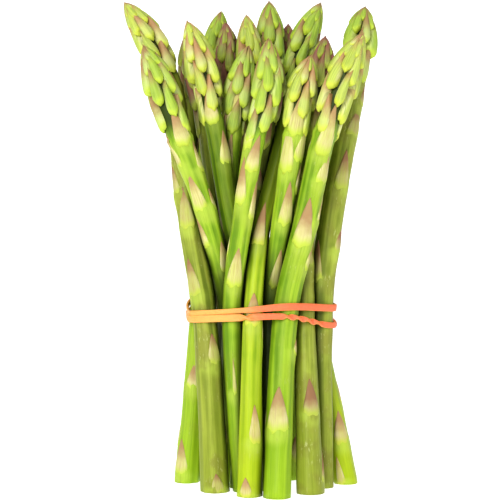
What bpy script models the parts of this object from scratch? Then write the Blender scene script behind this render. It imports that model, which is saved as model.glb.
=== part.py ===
"""A bundle of green asparagus, tied with a rubber band wound round it twice, standing on its cut ends.

Each spear grew as one piece, so its stalk and bud are one closed solid, cut level at the foot.
The layout below is written in millimetres: x to the right, y away from the front, z up. Each spear
passes through a few chosen places. They are first eased apart until every spear clears its
neighbours, and the band is then drawn round them as tight as a stretched loop lies.
"""

import math
from dataclasses import dataclass

import bmesh
import bpy
import numpy as np
from mathutils import Vector

MM = 0.001
COLLECTION_NAME = "asparagus_bundle"

# Heights at which a spear's places are given, between its foot on the ground and its tip.
WAIST_Z = 79.0
RISE_Z = 115.0
NECK_Z = 150.0

LEVEL_STEP = 6.0          # height between the levels at which spears are eased apart
SPEAR_GAP = 0.5           # clear space left between neighbouring spears
EASING_ROUNDS = 700
EASING_RATE = 0.6
SIDEWAYS_SHARE = 0.45     # spears move more easily in depth than across the front
RING_STEP = 9.0           # spacing of the rings that make up a spear's solid
BUD_RINGS = 8
BELOW_GROUND = 4.0        # a spear is made this much too long, then cut level
SIDES_RESOLUTION = 3      # ten sides round a spear

BAND_TURN_POINTS = 72
BAND_WIDTH = 2.5
BAND_THICKNESS = 1.2
BAND_CLEARANCE = 0.65     # from the spears to the band's inner face, with room for its straight steps
BAND_CROSSING_HUMP = 1.8  # how far one strand stands out where it crosses over the other
# Height of each strand along the front, by its distance to the right of the middle.
FRONT_X = (-27.0, 2.0, 15.0, 22.0, 31.0, 37.0)
FRONT_UPPER_Z = (77.3, 79.3, 80.7, 80.4, 79.6, 78.9)
FRONT_LOWER_Z = (74.3, 76.2, 76.6, 75.4, 72.3, 70.9)
BACK_UPPER_Z = 81.5
BACK_LOWER_Z = 77.5


@dataclass(frozen=True)
class Spear:
    """One spear: where it passes, how thick it is, and the size of its bud, in millimetres."""

    name: str
    foot: tuple
    waist: tuple
    rise: tuple
    neck: tuple
    crown: tuple
    tip: tuple
    girth: tuple          # diameter at the foot, at the waist and just under the bud
    bud: tuple            # length and greatest width
    tone: str = "green"
    firmness: float = 1.0  # the firmer a spear, the less its neighbours push it aside


SPEARS = (
    Spear("spear_left_tall", (-13, -20), (-17.5, -15), (-23.5, -15), (-28.5, -14), (-33.5, -12), (-54, -8, 214),
          (12.6, 10.4, 8.8), (40, 12.8), "olive", 30.0),
    Spear("spear_left_front", (3, -7), (-11, -9), (-19, -22), (-30, -30), (-38, -33), (-46, -36, 191),
          (9.6, 9.2, 8.8), (44, 14.0), "green", 30.0),
    Spear("spear_left_pale", (-8, -9), (-4, -9), (-12, -13), (-16, -18), (-20, -21), (-28, -26, 202),
          (9.2, 9.2, 8.4), (42, 13.2), "yellow", 4.0),
    Spear("spear_middle_left", (-11, -2), (-9, 0), (-11, -4), (-11, -14), (-8, -21), (-3, -28, 192),
          (9.0, 8.6, 8.0), (38, 12.2), "green", 4.0),
    Spear("spear_middle_front", (-2, -18), (-7, -18), (-3, -24), (2, -30), (8, -33), (8, -35, 194),
          (8.6, 8.4, 8.2), (42, 12.0), "green", 30.0),
    Spear("spear_middle_bright", (0, -29), (2, -22), (6, -16), (14, -10), (19, -5), (32, 0, 215),
          (11.0, 8.0, 7.4), (40, 12.0), "yellow", 30.0),
    Spear("spear_middle_short", (7, -19), (7, -14), (12, -22), (17, -30), (20, -33), (25, -35, 187),
          (8.4, 8.0, 9.6), (34, 12.6), "yellow", 30.0),
    Spear("spear_right_leaning", (11, -34), (15, -20), (23, -24), (30, -32), (37, -37), (47, -42, 195),
          (11.7, 10.8, 9.6), (44, 14.8), "green", 30.0),
    Spear("spear_right_purple", (26, -25), (24, -14), (24, -13), (27, -14), (30, -14), (33, -14, 198),
          (12.0, 9.0, 8.0), (32, 11.0), "olive", 20.0),
    Spear("spear_right_tall", (32, -11), (32, -9), (37, -9), (42, -10), (46, -10), (51, -9, 212),
          (9.8, 9.4, 9.6), (34, 15.0), "olive", 20.0),
    Spear("spear_crossing_dark", (43, -1), (27, 2), (20, 2), (14, 4), (10, 6), (9, 8, 217),
          (10.8, 9.4, 8.4), (38, 12.4), "yellow", 4.0),
    Spear("spear_back_left_bright", (-26, 1), (-19, -3), (-18, 6), (-17, 6), (-16, 6), (-12, 8, 213),
          (11.4, 9.4, 8.0), (36, 11.0), "green", 4.0),
    Spear("spear_left_slim", (-16, 6), (-13, 6), (-19, -4), (-23, -12), (-26, -15), (-33, -18, 192),
          (9.0, 8.6, 7.6), (36, 10.0), "olive", 2.0),
    Spear("spear_middle_yellow", (1, 0), (-1, 2), (-3, -4), (-3, -8), (0, -9), (-2, -8, 209),
          (9.0, 8.8, 8.6), (40, 11.0), "yellow", 2.0),
    Spear("spear_middle_pink", (-5, 8), (-5, 10), (-7, 6), (-9, 2), (-10, -2), (-11, -4, 206),
          (9.0, 8.4, 7.4), (34, 10.4), "olive"),
    Spear("spear_left_dark", (-20, 12), (-16, 12), (-18, 8), (-20, 2), (-20, -1), (-21, -4, 203),
          (9.0, 8.4, 7.6), (34, 10.0), "olive"),
    Spear("spear_right_slim", (18, 8), (16, 8), (16, 8), (16, 10), (16, 11), (17, 12, 208),
          (9.2, 8.4, 7.4), (34, 10.4), "green"),
    Spear("spear_middle_dark", (13, -7), (7, -3), (7, -6), (10, -14), (14, -19), (13, -22, 194),
          (9.0, 8.4, 8.0), (36, 11.4), "olive", 2.0),
    Spear("spear_back_left", (-10, 19), (-8, 19), (-12, 19), (-17, 21), (-21, 23), (-27, 27, 198),
          (9.6, 9.2, 8.2), (38, 12.0), "green"),
    Spear("spear_back_middle", (6, 21), (5, 18), (4, 19), (2, 21), (1, 23), (1, 26, 200),
          (9.6, 9.2, 8.2), (38, 12.0), "yellow"),
    Spear("spear_back_right", (20, 22), (14, 20), (16, 22), (18, 24), (21, 27), (26, 31, 204),
          (9.6, 9.0, 8.2), (38, 12.2), "green"),
    Spear("spear_back_far_right", (28, 12), (22, 13), (26, 12), (30, 12), (33, 13), (38, 16, 189),
          (9.6, 9.2, 8.2), (38, 12.0), "olive"),
)

TONES = {
    "green": (0.26, 0.48, 0.04),
    "yellow": (0.42, 0.55, 0.05),
    "olive": (0.30, 0.36, 0.09),
}
BAND_COLOUR = (0.80, 0.22, 0.08)
SPEAR_ROUGHNESS = 0.45
BAND_ROUGHNESS = 0.6


def clear_scene():
    for thing in list(bpy.data.objects):
        bpy.data.objects.remove(thing, do_unlink=True)


def make_material(name, colour, roughness):
    material = bpy.data.materials.new(name)
    material.use_nodes = True
    shader = material.node_tree.nodes["Principled BSDF"]
    shader.inputs["Base Color"].default_value = (*colour, 1.0)
    shader.inputs["Roughness"].default_value = roughness
    shader.inputs["Metallic"].default_value = 0.0
    return material


def spear_places(spear):
    """The heights of a spear's chosen places, and the places themselves."""
    tip_z = spear.tip[2]
    heights = np.array([0.0, WAIST_Z, RISE_Z, NECK_Z, (NECK_Z + tip_z) / 2, tip_z])
    places = np.array([spear.foot, spear.waist, spear.rise, spear.neck, spear.crown, spear.tip[:2]], float)
    return heights, places


def smooth_through(heights, places, z):
    """A smooth path through the places, read at the heights z. It runs straight on past both ends."""
    slopes = np.empty_like(places)
    for i in range(len(heights)):
        before = max(i - 1, 0)
        after = min(i + 1, len(heights) - 1)
        slopes[i] = (places[after] - places[before]) / (heights[after] - heights[before])
    inside = np.clip(z, heights[0], heights[-1])
    k = np.clip(np.searchsorted(heights, inside, side="right") - 1, 0, len(heights) - 2)
    span = (heights[k + 1] - heights[k])[:, None]
    t = (inside - heights[k])[:, None] / span
    path = (2 * t**3 - 3 * t**2 + 1) * places[k] + (t**3 - 2 * t**2 + t) * span * slopes[k]
    path += (3 * t**2 - 2 * t**3) * places[k + 1] + (t**3 - t**2) * span * slopes[k + 1]
    beyond = (z - inside)[:, None]
    return path + beyond * np.where(beyond < 0, slopes[0], slopes[-1])


def spear_radius(spear, z):
    """A spear's radius at the heights z: a long taper up the stalk, then the bud's pointed swell."""
    foot, waist, neck = spear.girth
    length, width = spear.bud
    tip_z = spear.tip[2]
    stalk = np.interp(z, [0.0, WAIST_Z, tip_z - length], [foot / 2, waist / 2, neck / 2])
    down = np.clip((tip_z - z) / length, 0.0, 1.0)
    widest = 0.55
    point = np.clip(1 - (1 - down / widest) ** 2, 0.0, 1.0) ** 0.72
    swell = 1 - (1 - neck / width) * np.clip((down - widest) / (1 - widest), 0.0, 1.0) ** 1.5
    bud = width / 2 * np.where(down < widest, point, swell)
    return np.where(z >= tip_z - length, bud, stalk)


def ease_apart():
    """Moves the spears just enough, level by level, that each clears its neighbours.

    Returns the levels and, for each spear, how far it has moved at every level."""
    tips = np.array([spear.tip[2] for spear in SPEARS], float)
    levels = np.arange(0.0, tips.max() + LEVEL_STEP, LEVEL_STEP)
    present = levels[None, :] <= tips[:, None]
    wanted = np.array([smooth_through(*spear_places(s), np.minimum(levels, s.tip[2])) for s in SPEARS])
    radius = np.array([spear_radius(s, levels) for s in SPEARS]) * present
    softness = 1 / np.array([spear.firmness for spear in SPEARS])
    share = (softness[:, None] / (softness[:, None] + softness[None, :]))[..., None]
    pairs = present[:, None] & present[None, :]
    pairs[np.arange(len(SPEARS)), np.arange(len(SPEARS))] = False
    ease = np.array([SIDEWAYS_SHARE, 1.0])
    path = wanted.copy()
    for round_number in range(EASING_ROUNDS):
        slope = np.gradient(path, LEVEL_STEP, axis=1)
        apart = path[:, None] - path[None]
        distance = np.linalg.norm(apart, axis=-1) + 1e-9
        toward = apart / distance[..., None]
        stretch_a = np.sqrt(1 + (slope[:, None] * toward).sum(-1) ** 2)
        stretch_b = np.sqrt(1 + (slope[None] * toward).sum(-1) ** 2)
        room = radius[:, None] * stretch_a + radius[None] * stretch_b + SPEAR_GAP
        short = np.where(pairs, np.clip(room - distance, 0.0, None), 0.0)
        push = toward * ease
        push /= np.linalg.norm(push, axis=-1, keepdims=True) + 1e-9
        along = np.maximum((push * toward).sum(-1), 0.5)
        step = ((short * share / along)[..., None] * push).sum(1)
        moved = path + EASING_RATE * step - wanted
        smoothing = 0.5 if round_number < EASING_ROUNDS * 0.85 else 0.1
        blended = moved.copy()
        blended[:, 1:-1] += smoothing * ((moved[:, :-2] + moved[:, 2:]) / 2 - moved[:, 1:-1])
        blended[:, 0] += smoothing * (moved[:, 1] - moved[:, 0])
        blended[:, -1] += smoothing * (moved[:, -2] - moved[:, -1])
        path = wanted + blended
    return levels, path - wanted


def spear_path(spear, z, levels, moves):
    """Where a spear's middle lies at the heights z once it has been eased clear of the others."""
    path = smooth_through(*spear_places(spear), z)
    held = np.clip(z, 0.0, spear.tip[2])
    path[:, 0] += np.interp(held, levels, moves[:, 0])
    path[:, 1] += np.interp(held, levels, moves[:, 1])
    return path


def add_to(collection, thing, parent):
    collection.objects.link(thing)
    thing.parent = parent
    return thing


def curve_as_mesh(curve_object, name):
    """Makes a curve object's solid into a mesh object in the same place, with its caps welded on."""
    bpy.context.collection.objects.link(curve_object)
    bpy.context.view_layer.update()
    evaluated = curve_object.evaluated_get(bpy.context.evaluated_depsgraph_get())
    mesh = bpy.data.meshes.new_from_object(evaluated)
    solid = bpy.data.objects.new(name, mesh)
    solid.matrix_world = curve_object.matrix_world
    bpy.data.objects.remove(curve_object, do_unlink=True)
    shape = bmesh.new()
    shape.from_mesh(mesh)
    bmesh.ops.remove_doubles(shape, verts=shape.verts, dist=0.00001)
    shape.to_mesh(mesh)
    shape.free()
    return solid


def cut_level(solid):
    """Cuts a spear flat at the ground and closes the cut end."""
    shape = bmesh.new()
    shape.from_mesh(solid.data)
    everything = shape.verts[:] + shape.edges[:] + shape.faces[:]
    bmesh.ops.bisect_plane(
        shape, geom=everything, dist=0.000001, plane_co=(0, 0, 0), plane_no=(0, 0, 1), clear_inner=True
    )
    rim = [edge for edge in shape.edges if edge.is_boundary]
    bmesh.ops.edgeloop_fill(shape, edges=rim)
    bmesh.ops.recalc_face_normals(shape, faces=shape.faces)
    shape.to_mesh(solid.data)
    shape.free()


def round_off(solid):
    solid.data.shade_smooth()
    solid.data.set_sharp_from_angle(angle=math.radians(50))


def make_spear(spear, levels, moves, collection, parent):
    tip_z = spear.tip[2]
    bud_start = tip_z - spear.bud[0]
    stalk_steps = round((bud_start + BELOW_GROUND) / RING_STEP)
    stalk = np.linspace(-BELOW_GROUND, bud_start, stalk_steps + 1)
    rounding = np.sin(np.linspace(0, math.pi / 2, BUD_RINGS + 1)[1:])
    bud = bud_start + (tip_z - bud_start) * rounding
    z = np.concatenate([stalk, bud])
    path = spear_path(spear, z, levels, moves)
    radius = np.maximum(spear_radius(spear, z), 0.3)
    line = bpy.data.curves.new(spear.name, "CURVE")
    line.dimensions = "3D"
    line.bevel_depth = MM
    line.bevel_resolution = SIDES_RESOLUTION
    line.use_fill_caps = True
    run = line.splines.new("POLY")
    run.points.add(len(z) - 1)
    for point, place, height, size in zip(run.points, path, z, radius):
        point.co = (place[0] * MM, place[1] * MM, height * MM, 1.0)
        point.radius = size
    solid = curve_as_mesh(bpy.data.objects.new(spear.name + "_line", line), spear.name)
    cut_level(solid)
    round_off(solid)
    solid.data.materials.append(make_material(spear.name, TONES[spear.tone], SPEAR_ROUGHNESS))
    return add_to(collection, solid, parent)


def hull_round(points):
    """The corners of the tightest loop round the points, anticlockwise seen from above."""
    ordered = sorted(map(tuple, points))
    loop = []
    for run in (ordered, ordered[::-1]):
        side = []
        for place in run:
            while len(side) > 1 and turn(side[-2], side[-1], place) <= 0:
                side.pop()
            side.append(place)
        loop += side[:-1]
    return np.array(loop)


def turn(a, b, c):
    return (b[0] - a[0]) * (c[1] - a[1]) - (b[1] - a[1]) * (c[0] - a[0])


def taut_loop(levels, moves):
    """Evenly spaced points on the loop that a stretched band takes round the bundle's waist."""
    heights = np.linspace(min(FRONT_LOWER_Z) - BAND_WIDTH, BACK_UPPER_Z + BAND_WIDTH, 5)
    around = np.linspace(0, 2 * math.pi, 48, endpoint=False)
    ring = np.column_stack([np.cos(around), np.sin(around)])
    outline = []
    for spear, move in zip(SPEARS, moves):
        centres = spear_path(spear, heights, levels, move)
        for centre, radius in zip(centres, spear_radius(spear, heights)):
            outline.extend(centre + ring * (radius + BAND_CLEARANCE + BAND_THICKNESS / 2))
    corners = hull_round(outline)
    front = corners[:, 1].argmax()
    corners = np.roll(corners, -front, axis=0)
    closed = np.vstack([corners, corners[:1]])
    walked = np.concatenate([[0.0], np.cumsum(np.linalg.norm(np.diff(closed, axis=0), axis=1))])
    stops = np.linspace(0, walked[-1], BAND_TURN_POINTS, endpoint=False)
    return np.column_stack([np.interp(stops, walked, closed[:, 0]), np.interp(stops, walked, closed[:, 1])])


def ramp(value, low, high):
    t = np.clip((value - low) / (high - low), 0.0, 1.0)
    return t * t * (3 - 2 * t)


def make_band(levels, moves, collection, parent):
    """One closed rubber band wound twice. Its two strands swap places once, at the back."""
    loop = taut_loop(levels, moves)
    outward = loop - loop.mean(axis=0)
    outward /= np.linalg.norm(outward, axis=1, keepdims=True)
    back = ramp(loop[:, 1], -4.0, 12.0)
    upper = np.interp(loop[:, 0], FRONT_X, FRONT_UPPER_Z) * (1 - back) + BACK_UPPER_Z * back
    lower = np.interp(loop[:, 0], FRONT_X, FRONT_LOWER_Z) * (1 - back) + BACK_LOWER_Z * back
    share = np.arange(BAND_TURN_POINTS) / BAND_TURN_POINTS
    from_crossing = np.minimum(share, 1 - share)
    settled = 0.5 + ramp(from_crossing, 0.0, 0.07) / 2
    hump = BAND_CROSSING_HUMP * (1 - ramp(from_crossing, 0.055, 0.12))
    over_first = loop + outward * (hump * (share > 0.5))[:, None]
    over_second = loop + outward * (hump * (share < 0.5))[:, None]
    first = np.column_stack([over_first, lower + (upper - lower) * settled])
    second = np.column_stack([over_second, upper + (lower - upper) * settled])
    line = bpy.data.curves.new("rubber_band", "CURVE")
    line.dimensions = "3D"
    line.twist_mode = "Z_UP"
    line.extrude = (BAND_WIDTH - BAND_THICKNESS) / 2 * MM
    line.bevel_depth = BAND_THICKNESS / 2 * MM
    line.bevel_resolution = 0
    run = line.splines.new("POLY")
    places = np.vstack([first, second])
    run.points.add(len(places) - 1)
    for point, place in zip(run.points, places):
        point.co = (*(place * MM), 1.0)
    run.use_cyclic_u = True
    solid = curve_as_mesh(bpy.data.objects.new("rubber_band_line", line), "rubber_band")
    round_off(solid)
    solid.data.materials.append(make_material("rubber_band", BAND_COLOUR, BAND_ROUGHNESS))
    return add_to(collection, solid, parent)


def centre_over_origin(frame, pieces):
    """Moves the whole bundle so that the middle of its footprint box is the origin."""
    corners = np.array([tuple(vertex.co) for piece in pieces for vertex in piece.data.vertices])
    middle = (corners.min(axis=0) + corners.max(axis=0)) / 2
    frame.location = Vector((-middle[0], -middle[1], -corners[:, 2].min()))


def build():
    clear_scene()
    collection = bpy.data.collections.new(COLLECTION_NAME)
    bpy.context.scene.collection.children.link(collection)
    frame = bpy.data.objects.new("bundle_frame", None)
    collection.objects.link(frame)
    levels, moves = ease_apart()
    pieces = [make_spear(s, levels, m, collection, frame) for s, m in zip(SPEARS, moves)]
    pieces.append(make_band(levels, moves, collection, frame))
    centre_over_origin(frame, pieces)


build()
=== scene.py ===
"""The looks of a bundle of green asparagus, tied with a rubber band and standing on its cut ends.

Every spear is grown round the middle line of its solid in the frame: a fluted stalk with a cut
foot, the papery scale leaves along it, and a bud of plump scales that overlap in a spiral. The
rubber band is wound twice round the stalks, flat in places and rolled up in others.

Each skin carries values that its finish reads: "grown", the place on the spear as if straightened;
the strength of painted shade under other scales and inside the bud, and between close spears.

Sizes are in metres unless a name says otherwise. A bearing is the direction round a spear in
degrees: 0 faces the front, 90 the right and 180 the back.
"""

import logging
import math
from dataclasses import dataclass, field
from enum import Enum

import bpy
import numpy as np
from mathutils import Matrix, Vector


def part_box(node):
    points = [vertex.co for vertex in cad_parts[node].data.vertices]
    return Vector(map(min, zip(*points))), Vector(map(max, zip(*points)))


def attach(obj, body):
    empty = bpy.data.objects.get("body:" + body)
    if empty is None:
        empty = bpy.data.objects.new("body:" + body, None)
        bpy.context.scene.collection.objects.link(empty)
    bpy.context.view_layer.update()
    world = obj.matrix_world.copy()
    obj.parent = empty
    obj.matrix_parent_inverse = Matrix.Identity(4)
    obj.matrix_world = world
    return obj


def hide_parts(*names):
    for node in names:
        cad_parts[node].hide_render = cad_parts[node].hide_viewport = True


LOG = logging.getLogger("asparagus")
MM = 0.001
GOLDEN_ANGLE = 137.5
ROOT_BODY = "root"

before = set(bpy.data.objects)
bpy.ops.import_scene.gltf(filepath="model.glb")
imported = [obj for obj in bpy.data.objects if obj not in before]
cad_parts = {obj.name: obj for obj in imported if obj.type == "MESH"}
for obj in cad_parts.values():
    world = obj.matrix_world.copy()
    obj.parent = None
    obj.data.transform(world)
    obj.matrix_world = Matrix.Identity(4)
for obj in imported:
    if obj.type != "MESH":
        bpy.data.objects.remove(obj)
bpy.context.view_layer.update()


class Tone(Enum):
    """The kinds of skin seen in the bunch. Each value is the record's slot for it."""

    GREEN = "green_stalk"
    BRIGHT = "bright_stalk"
    OLIVE = "olive_stalk"


# ---------------------------------------------------------------------------------------------
# Shader maths


class Socket:
    """One output socket of a material, with the arithmetic that the finishes use."""

    def __init__(self, tree: bpy.types.NodeTree, output: bpy.types.NodeSocket) -> None:
        """Wraps a socket.

        Args:
            tree: the material's node tree.
            output: the socket to wrap.
        """
        self.tree = tree
        self.output = output

    def _maths(self, operation: str, *values: "Socket | float", clamp: bool = False) -> "Socket":
        """Adds one Math node.

        Args:
            operation: the node's operation.
            values: its inputs, in order.
            clamp: whether the result is held between 0 and 1.

        Returns:
            The result.
        """
        node = self.tree.nodes.new("ShaderNodeMath")
        node.operation = operation
        node.use_clamp = clamp
        for slot, value in zip(node.inputs, values):
            if isinstance(value, Socket):
                self.tree.links.new(value.output, slot)
            else:
                slot.default_value = value
        return Socket(self.tree, node.outputs[0])

    def __add__(self, other: "Socket | float") -> "Socket":
        """Sum."""
        return self._maths("ADD", self, other)

    __radd__ = __add__

    def __mul__(self, other: "Socket | float") -> "Socket":
        """Product."""
        return self._maths("MULTIPLY", self, other)

    __rmul__ = __mul__

    def __sub__(self, other: "Socket | float") -> "Socket":
        """Difference."""
        return self._maths("SUBTRACT", self, other)

    def __rsub__(self, other: float) -> "Socket":
        """Difference, the other way round."""
        return self._maths("SUBTRACT", other, self)

    def power(self, exponent: float) -> "Socket":
        """This value raised to a power."""
        return self._maths("POWER", self, exponent)

    def clamped(self) -> "Socket":
        """This value held between 0 and 1."""
        return self._maths("ADD", self, 0.0, clamp=True)

    def between(self, low: float, high: float) -> "Socket":
        """0 below low, 1 above high and a soft step from one to the other."""
        node = self.tree.nodes.new("ShaderNodeMapRange")
        node.interpolation_type = "SMOOTHSTEP"
        self.tree.links.new(self.output, node.inputs["Value"])
        node.inputs["From Min"].default_value = low
        node.inputs["From Max"].default_value = high
        return Socket(self.tree, node.outputs["Result"])


class Paint:
    """A new material and the few node recipes that every finish here is made from."""

    def __init__(self, name: str) -> None:
        """Makes the material.

        Args:
            name: the material's name.
        """
        self.material = bpy.data.materials.new(name)
        self.material.use_nodes = True
        self.tree = self.material.node_tree
        self.shader = self.tree.nodes["Principled BSDF"]

    def node(self, kind: str, settings: dict | None = None, **values: object) -> bpy.types.Node:
        """Adds a node.

        Args:
            kind: the node's type.
            settings: properties of the node, set first.
            values: a value or a Socket for each named input, with spaces written as underscores.

        Returns:
            The node.
        """
        node = self.tree.nodes.new(kind)
        for key, value in (settings or {}).items():
            setattr(node, key, value)
        for key, value in values.items():
            slot = node.inputs[key.replace("_", " ")]
            if isinstance(value, Socket):
                self.tree.links.new(value.output, slot)
            else:
                slot.default_value = value
        return node

    def attribute(self, name: str, output: str = "Fac") -> Socket:
        """A value that was stored on the mesh.

        Args:
            name: the attribute's name.
            output: which output of the node to use.

        Returns:
            The value.
        """
        node = self.node("ShaderNodeAttribute", {"attribute_name": name})
        return Socket(self.tree, node.outputs[output])

    def stretched(self, vector: Socket, scale: tuple[float, float, float]) -> Socket:
        """A vector with each of its parts multiplied by a number.

        Args:
            vector: the vector.
            scale: the three numbers.

        Returns:
            The stretched vector.
        """
        node = self.node("ShaderNodeVectorMath", {"operation": "MULTIPLY"})
        self.tree.links.new(vector.output, node.inputs[0])
        node.inputs[1].default_value = scale
        return Socket(self.tree, node.outputs[0])

    def noise(self, vector: Socket, scale: float, detail: float = 3.0, roughness: float = 0.5) -> Socket:
        """A cloudy pattern between 0 and 1.

        Args:
            vector: where to read the pattern.
            scale: how fine it is.
            detail: how many finer layers it has.
            roughness: how strong those layers are.

        Returns:
            The pattern.
        """
        node = self.node("ShaderNodeTexNoise", None, Scale=scale, Detail=detail, Roughness=roughness)
        self.tree.links.new(vector.output, node.inputs["Vector"])
        return Socket(self.tree, node.outputs["Fac"])

    def mix(self, share: Socket, first: "Socket | tuple", second: "Socket | tuple") -> Socket:
        """A colour between two others.

        Args:
            share: 0 for the first colour, 1 for the second.
            first: a colour or a socket that gives one.
            second: as first.

        Returns:
            The mixed colour.
        """
        node = self.node("ShaderNodeMix", {"data_type": "RGBA"})
        self.tree.links.new(share.output, node.inputs[0])
        for slot, value in ((node.inputs[6], first), (node.inputs[7], second)):
            if isinstance(value, Socket):
                self.tree.links.new(value.output, slot)
            else:
                slot.default_value = (*value, 1.0)
        return Socket(self.tree, node.outputs[2])

    def finish(
        self, colour: Socket, roughness: "Socket | float", relief: Socket | None, depth: float
    ) -> None:
        """Connects the shader.

        Args:
            colour: the base colour.
            roughness: a number or a pattern.
            relief: a height pattern for the bump, or None.
            depth: how deep the bump is, in metres.
        """
        self.tree.links.new(colour.output, self.shader.inputs["Base Color"])
        if isinstance(roughness, Socket):
            self.tree.links.new(roughness.output, self.shader.inputs["Roughness"])
        else:
            self.shader.inputs["Roughness"].default_value = roughness
        if relief is not None:
            bump = self.node("ShaderNodeBump", None, Height=relief, Strength=1.0, Distance=depth)
            self.tree.links.new(bump.outputs["Normal"], self.shader.inputs["Normal"])


def leafy_shine(paint: Paint, through: float) -> None:
    """Gives a shader the soft depth of living plant tissue.

    Args:
        paint: the paint to change.
        through: how much light travels under the skin.
    """
    paint.shader.inputs["Subsurface Weight"].default_value = through
    paint.shader.inputs["Subsurface Radius"].default_value = (0.9, 1.0, 0.25)
    paint.shader.inputs["Subsurface Scale"].default_value = 1.2 * MM
    paint.shader.inputs["Specular IOR Level"].default_value = 0.22


# ---------------------------------------------------------------------------------------------
# Finishes. "grown" is the place on a spear as if it were straightened, in metres from its foot.


@dataclass(frozen=True)
class StalkSkin:
    """The skin of a stalk: streaked along its length, mottled, lighter low down."""

    tone: Tone
    light: tuple[float, float, float]
    deep: tuple[float, float, float]
    foot: tuple[float, float, float]
    mottle: float

    def make(self) -> bpy.types.Material:
        """Builds the material.

        Returns:
            The material.
        """
        paint = Paint("stalk_" + self.tone.value)
        grown = paint.attribute("grown", "Vector")
        height = paint.attribute("height")
        streaks = paint.noise(paint.stretched(grown, (1.0, 1.0, 0.03)), 900.0, 4.0, 0.6)
        broad = paint.noise(paint.stretched(grown, (1.0, 1.0, 0.12)), 220.0, 2.0)
        specks = paint.noise(paint.stretched(grown, (1.0, 1.0, 0.25)), 1100.0, 5.0, 0.65)
        clouds = paint.noise(grown, 90.0, 3.0)
        # Painted shade: the grooves between the flutes take the deep tone and the ridges the light one.
        ridge = paint.attribute("ridge")
        share = (streaks * 0.6 + broad * 0.8 + clouds * 0.5 + ridge * 0.5).between(0.86, 1.48)
        skin = paint.mix(share, self.deep, self.light)
        low = (1.0 - height.between(0.0, 0.34)) * 0.65
        skin = paint.mix(low, skin, self.foot)
        skin = paint.mix(paint.attribute("collar").between(0.25, 1.0) * 0.55, skin, (0.46, 0.58, 0.08))
        lines = paint.noise(paint.stretched(grown, (1.0, 1.0, 0.012)), 2100.0, 2.0)
        skin = paint.mix(lines.between(0.52, 0.70) * 0.30, skin, self.deep)
        worn = (clouds + broad * 0.4).between(0.62, 0.86) * (self.mottle * 0.55)
        skin = paint.mix(worn, skin, (0.19, 0.18, 0.030))
        pale = specks.between(0.56, 0.68) * clouds.between(0.45, 0.62) * self.mottle
        skin = paint.mix(pale * 0.7, skin, (0.50, 0.54, 0.20))
        scar = specks.between(0.62, 0.72) * (1.0 - clouds).between(0.5, 0.6) * (self.mottle * 0.6)
        skin = paint.mix(scar, skin, (0.20, 0.16, 0.05))
        # Painted shade: the core inside the bud is darkened almost to black.
        skin = paint.mix(paint.attribute("painted_shade_under") * 0.92, skin, (0.020, 0.032, 0.004))
        # Painted shade where the other spears stand close round the stalk.
        skin = paint.mix(paint.attribute("painted_shade_between").between(0.12, 0.84) * 0.94, skin, (0.018, 0.030, 0.003))
        roughness = streaks * 0.16 + 0.38
        paint.finish(skin, roughness, streaks * 0.6 + specks * 0.4, 0.12 * MM)
        leafy_shine(paint, 0.08)
        return paint.material


@dataclass(frozen=True)
class LeafSkin:
    """A papery scale leaf: bright where it joins the stalk, cream above and brown-pink at its tip."""

    name: str
    joint: tuple[float, float, float]
    body: tuple[float, float, float]
    edge: tuple[float, float, float]
    tip: tuple[float, float, float]
    tip_from: float
    vein: tuple[float, float, float] = (0.34, 0.22, 0.09)
    margin: float = 0.35

    def make(self) -> bpy.types.Material:
        """Builds the material.

        Returns:
            The material.
        """
        paint = Paint(self.name)
        grown = paint.attribute("grown", "Vector")
        along = paint.attribute("along")
        across = paint.attribute("across")
        tint = paint.attribute("tint")
        veins = paint.noise(paint.stretched(grown, (1.0, 1.0, 0.05)), 1500.0, 4.0, 0.65)
        clouds = paint.noise(grown, 260.0, 3.0)
        colour = paint.mix(across.between(self.margin, 1.0) * 0.9, self.body, self.edge)
        colour = paint.mix((veins * 1.0 + clouds * 0.5).between(0.55, 1.0) * 0.45, colour, self.joint)
        fibres = paint.noise(paint.stretched(grown, (1.0, 1.0, 0.03)), 3200.0, 2.0)
        colour = paint.mix(fibres.between(0.46, 0.68) * 0.50, colour, self.vein)
        colour = paint.mix(tint.between(0.45, 1.0) * 0.45, colour, self.edge)
        worn = (along + clouds * 0.35 + tint * 0.45).between(self.tip_from + 0.12, self.tip_from + 0.65)
        colour = paint.mix(worn, colour, self.tip)
        low = (1.0 - (along + clouds * 0.12 - across * 0.04).between(0.10, 0.30))
        colour = paint.mix(low * 0.9, colour, self.joint)
        # Painted shade on the underside and inner walls of each scale.
        under_shade = paint.attribute("painted_shade_under").between(0.08, 0.65) * 0.95
        colour = paint.mix(under_shade, colour, (0.030, 0.045, 0.006))
        # Painted shade where the other spears stand close round the leaf.
        between_shade = paint.attribute("painted_shade_between").between(0.22, 0.90) * 0.85
        colour = paint.mix(between_shade, colour, (0.030, 0.035, 0.006))
        paint.finish(colour, veins * 0.2 + 0.42, veins * 0.6 + fibres * 0.4, 0.20 * MM)
        leafy_shine(paint, 0.05)
        return paint.material


@dataclass(frozen=True)
class CutEnd:
    """The freshly cut end of a stalk: pale, moist and fibrous."""

    colour: tuple[float, float, float] = (0.62, 0.66, 0.34)
    rim: tuple[float, float, float] = (0.42, 0.40, 0.16)

    def make(self) -> bpy.types.Material:
        """Builds the material.

        Returns:
            The material.
        """
        paint = Paint("cut_end")
        grown = paint.attribute("grown", "Vector")
        fibres = paint.noise(grown, 1800.0, 3.0, 0.6)
        colour = paint.mix(fibres.between(0.4, 0.7), self.colour, self.rim)
        paint.finish(colour, 0.5, fibres, 0.2 * MM)
        return paint.material


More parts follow.
